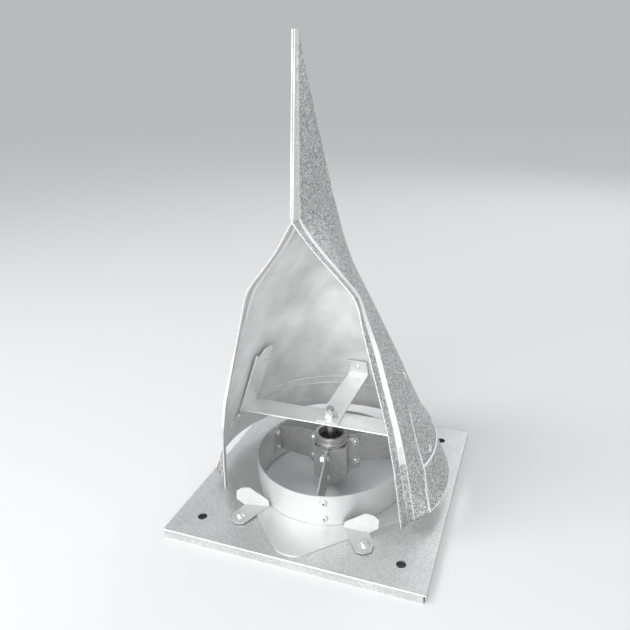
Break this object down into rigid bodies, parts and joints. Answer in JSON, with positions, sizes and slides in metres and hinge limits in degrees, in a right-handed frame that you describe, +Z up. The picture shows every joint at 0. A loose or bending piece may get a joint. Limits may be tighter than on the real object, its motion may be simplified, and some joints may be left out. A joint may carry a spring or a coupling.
{
  "type": "rotating chimney cowl",
  "caption": "Wind-turned chimney cowl: a vane-shaped galvanised hood on a ball-bearing shaft, held by a spoked hub in a round collar on a square flanged base with turn-clips.",
  "frame": {"origin": "middle of the square base, at the lower edge of its down-turned flange", "axes": "+Z up along the shaft and the flue; -Y out of the hood's open mouth at rest; +X to the right seen from the mouth"},
  "size_m": [0.25, 0.25, 0.433],
  "materials": {
    "galvanised_base": "hot-dip galvanised sheet with a fine mottled spangle",
    "galvanised_plate": "bright galvanised sheet, smoother than the base",
    "galvanised_collar": "bright rolled galvanised sheet",
    "galvanised_hood": "galvanised sheet, mottled outside and smoother inside",
    "galvanised_skirt": "galvanised sheet with a rolled bead",
    "spoke_steel": "darker zinc-coated strip",
    "hub_steel": "dark turned steel",
    "carrier_steel": "zinc-plated flat bar",
    "shaft_steel": "turned bright steel",
    "bearing_steel": "ground and polished bearing steel",
    "spring_steel": "dark spring steel",
    "zinc_fasteners": "bright zinc-plated",
    "rivet_steel": "bright blind rivet",
    "clip_zinc": "bright pressed sheet"
  },
  "bodies": {
    "base": {"base_plate": "galvanised_base", "collar_plate": "galvanised_plate", "collar": "galvanised_collar", "spoke_front": "spoke_steel", "spoke_right": "spoke_steel", "spoke_left": "spoke_steel", "spoke_rivets": "rivet_steel", "hub_screws": "zinc_fasteners", "hub_nuts": "zinc_fasteners", "hub_tube": "hub_steel", "bearing_outer_rings": "bearing_steel", "bearing_shields": "hub_steel", "hub_circlips": "spring_steel", "clip_screws": "zinc_fasteners", "clip_washers": "zinc_fasteners", "clip_nuts": "zinc_fasteners"},
    "hood": {"shaft": "shaft_steel", "bearing_inner_rings": "bearing_steel", "spacer_sleeve": "shaft_steel", "shaft_circlip": "spring_steel", "lower_washer": "zinc_fasteners", "lock_nut": "zinc_fasteners", "crossbar": "carrier_steel", "rear_arm": "carrier_steel", "top_washer": "zinc_fasteners", "top_nut": "zinc_fasteners", "hood_sheet": "galvanised_hood", "skirt_band": "galvanised_skirt", "leg_rivets": "rivet_steel", "seam_rivets": "rivet_steel"},
    "balls": {"bearing_balls": "bearing_steel", "bearing_cages": "spring_steel"},
    "clip_front_right": {"clip_front_right": "clip_zinc"},
    "clip_front_left": {"clip_front_left": "clip_zinc"},
    "clip_rear_right": {"clip_rear_right": "clip_zinc"},
    "clip_rear_left": {"clip_rear_left": "clip_zinc"}
  },
  "joints": [
    {"name": "hood_swivel", "type": "hinge", "parent": "base", "child": "hood", "pos_m": [0, 0, 0.078], "axis": [0, 0, 1], "continuous": true},
    {"name": "ball_roll", "type": "hinge", "parent": "base", "child": "balls", "pos_m": [0, 0, 0.055], "axis": [0, 0, 1], "continuous": true},
    {"name": "clip_front_right_turn", "type": "hinge", "parent": "base", "child": "clip_front_right", "pos_m": [0.062, -0.088, 0.011], "axis": [0, 0, 1], "range_deg": [0, 50]},
    {"name": "clip_front_left_turn", "type": "hinge", "parent": "base", "child": "clip_front_left", "pos_m": [-0.062, -0.088, 0.011], "axis": [0, 0, -1], "range_deg": [0, 60]},
    {"name": "clip_rear_right_turn", "type": "hinge", "parent": "base", "child": "clip_rear_right", "pos_m": [0.062, 0.088, 0.011], "axis": [0, 0, -1], "range_deg": [0, 50]},
    {"name": "clip_rear_left_turn", "type": "hinge", "parent": "base", "child": "clip_rear_left", "pos_m": [-0.062, 0.088, 0.011], "axis": [0, 0, 1], "range_deg": [0, 60]}
  ],
  "couplings": [
    {"joint": "ball_roll", "follows": "hood_swivel", "ratio": 0.3667}
  ]
}
